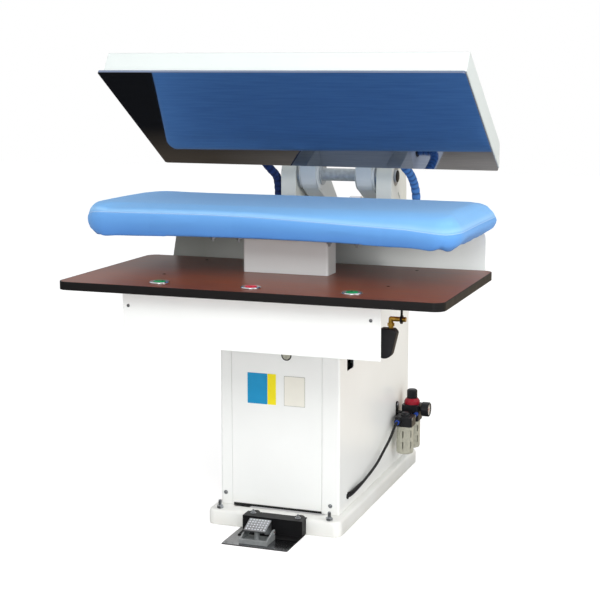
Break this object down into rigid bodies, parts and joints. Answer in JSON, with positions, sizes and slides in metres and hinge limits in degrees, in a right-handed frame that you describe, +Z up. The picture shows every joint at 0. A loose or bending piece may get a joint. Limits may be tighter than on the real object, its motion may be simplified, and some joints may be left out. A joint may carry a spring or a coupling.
{
  "type": "utility ironing press",
  "caption": "Free-standing laundry press: a hinged steam head closes on a padded buck over a worktable, with a base cabinet, air unit, spray gun and foot pedal.",
  "frame": {"origin": "bottom centre of the bounding box, on the floor plane, with the head open", "axes": "+Z up, -Y towards the operator, +X to the operator's right"},
  "size_m": [1.2174, 1.152, 1.4457],
  "materials": {
    "white_paint": "smooth gloss enamel",
    "cream_paint": "smooth gloss enamel",
    "grey_paint": "smooth satin enamel",
    "lever_casting": "painted casting",
    "black_paint": "satin enamel",
    "floor_plate_steel": "worn smooth sheet",
    "zinc_steel": "zinc plated",
    "bright_steel": "ground and plated",
    "mirror_plate": "mirror polished steel",
    "cast_aluminium": "as cast",
    "table_laminate": "smooth reddish laminate on board",
    "table_edge": "pressed edge band",
    "green_cap": "moulded",
    "red_cap": "moulded",
    "pad_cloth": "woven press cloth over felt",
    "black_plastic": "moulded",
    "bowl_metal": "lacquered",
    "pointer_paint": "painted",
    "black_rubber": "smooth",
    "hose_sleeve": "woven sleeve over hose",
    "brass": "bare, slightly dull",
    "pedal_casting": "painted casting",
    "pedal_steel": "pressed sheet"
  },
  "bodies": {
    "frame": {"base_plinth": "white_paint", "cabinet_shell": "white_paint", "front_cover": "white_paint", "rear_cover": "white_paint", "control_apron": "white_paint", "cloth_guard": "white_paint", "pivot_post_left": "cream_paint", "pivot_post_right": "cream_paint", "neck_shroud": "grey_paint", "cylinder_mount": "grey_paint", "air_unit_bracket": "black_paint", "pedal_guard": "black_paint", "gun_holder": "black_paint", "pedal_floor_plate": "floor_plate_steel", "levelling_screw_front_left": "zinc_steel", "levelling_screw_front_right": "zinc_steel", "levelling_screw_rear_left": "zinc_steel", "levelling_screw_rear_right": "zinc_steel", "bearing_left": "zinc_steel", "bearing_right": "zinc_steel", "buck_support": "zinc_steel", "pedal_pin": "bright_steel", "button_bezel_left": "bright_steel", "button_bezel_centre": "bright_steel", "button_bezel_right": "bright_steel", "buck_tray": "cast_aluminium", "air_valve": "cast_aluminium", "worktable": "table_laminate", "table_edging": "table_edge", "lock_ring": "red_cap", "buck_pad": "pad_cloth", "lubricator_head": "black_plastic", "regulator_body": "black_plastic", "pressure_gauge": "black_plastic", "spray_gun": "black_plastic", "lubricator_bowl": "bowl_metal", "regulator_bowl": "bowl_metal", "air_hose": "black_rubber", "steam_hose_left": "hose_sleeve", "steam_hose_right": "hose_sleeve", "gun_pipe": "brass", "pedal_base": "pedal_casting"},
    "head": {"lever_left": "lever_casting", "lever_right": "lever_casting", "pivot_shaft": "bright_steel", "lever_cross_pin": "zinc_steel", "head_bridge": "grey_paint", "head_cover": "white_paint", "pressing_plate": "mirror_plate", "steam_chest": "cast_aluminium"},
    "cylinder": {"air_cylinder": "cast_aluminium"},
    "rod": {"piston_rod": "bright_steel"},
    "left_button": {"button_left": "green_cap"},
    "centre_button": {"button_centre": "red_cap"},
    "right_button": {"button_right": "green_cap"},
    "cover_lock": {"panel_lock": "zinc_steel"},
    "pressure_knob": {"regulator_knob": "black_plastic"},
    "pointer": {"gauge_needle": "pointer_paint"},
    "trigger": {"gun_trigger": "black_plastic"},
    "treadle": {"pedal_treadle": "pedal_steel"}
  },
  "joints": [
    {"name": "head_hinge", "type": "hinge", "parent": "frame", "child": "head", "pos_m": [0.02225, 0.333, 1.044], "axis": [1, 0, 0], "range_deg": [0, 32.4], "deforming": ["steam_hose_left", "steam_hose_right"]},
    {"name": "cylinder_tilt", "type": "hinge", "parent": "frame", "child": "cylinder", "pos_m": [0.02225, 0.403, 0.36], "axis": [1, 0, 0], "range_deg": [-1.6, 0]},
    {"name": "rod_slide", "type": "slide", "parent": "cylinder", "child": "rod", "axis": [0, 0.1774, 0.9841], "range_m": [0, 0.116]},
    {"name": "left_button_press", "type": "slide", "parent": "frame", "child": "left_button", "axis": [0, 0, -1], "range_m": [0, 0.004], "stiffness_N_per_m": 900, "springref_m": -0.002},
    {"name": "centre_button_press", "type": "slide", "parent": "frame", "child": "centre_button", "axis": [0, 0, -1], "range_m": [0, 0.004], "stiffness_N_per_m": 900, "springref_m": -0.002},
    {"name": "right_button_press", "type": "slide", "parent": "frame", "child": "right_button", "axis": [0, 0, -1], "range_m": [0, 0.004], "stiffness_N_per_m": 900, "springref_m": -0.002},
    {"name": "lock_turn", "type": "hinge", "parent": "frame", "child": "cover_lock", "pos_m": [0.04625, -0.264, 0.539], "axis": [0, -1, 0], "range_deg": [0, 90]},
    {"name": "pressure_knob_turn", "type": "hinge", "parent": "frame", "child": "pressure_knob", "pos_m": [0.26025, 0.415, 0.286], "axis": [0, 0, 1], "range_deg": [-360, 360]},
    {"name": "pointer_turn", "type": "hinge", "parent": "frame", "child": "pointer", "pos_m": [0.3195, 0.415, 0.234], "axis": [-1, 0, 0], "range_deg": [0, 270], "stiffness_Nm_per_rad": 0.002, "springref_deg": -17.19},
    {"name": "trigger_pull", "type": "hinge", "parent": "frame", "child": "trigger", "pos_m": [0.38045, -0.427, 0.664], "axis": [0, -1, 0], "range_deg": [0, 10], "stiffness_Nm_per_rad": 0.8, "springref_deg": -8.59},
    {"name": "treadle_press", "type": "hinge", "parent": "frame", "child": "treadle", "pos_m": [0.01625, -0.415, 0.024], "axis": [1, 0, 0], "range_deg": [0, 10], "stiffness_Nm_per_rad": 12, "springref_deg": -8.59}
  ],
  "couplings": [
    {"joint": "cylinder_tilt", "follows": "head_hinge", "ratio": -0.04494},
    {"joint": "rod_slide", "follows": "head_hinge", "m_per_rad": 0.20326}
  ]
}
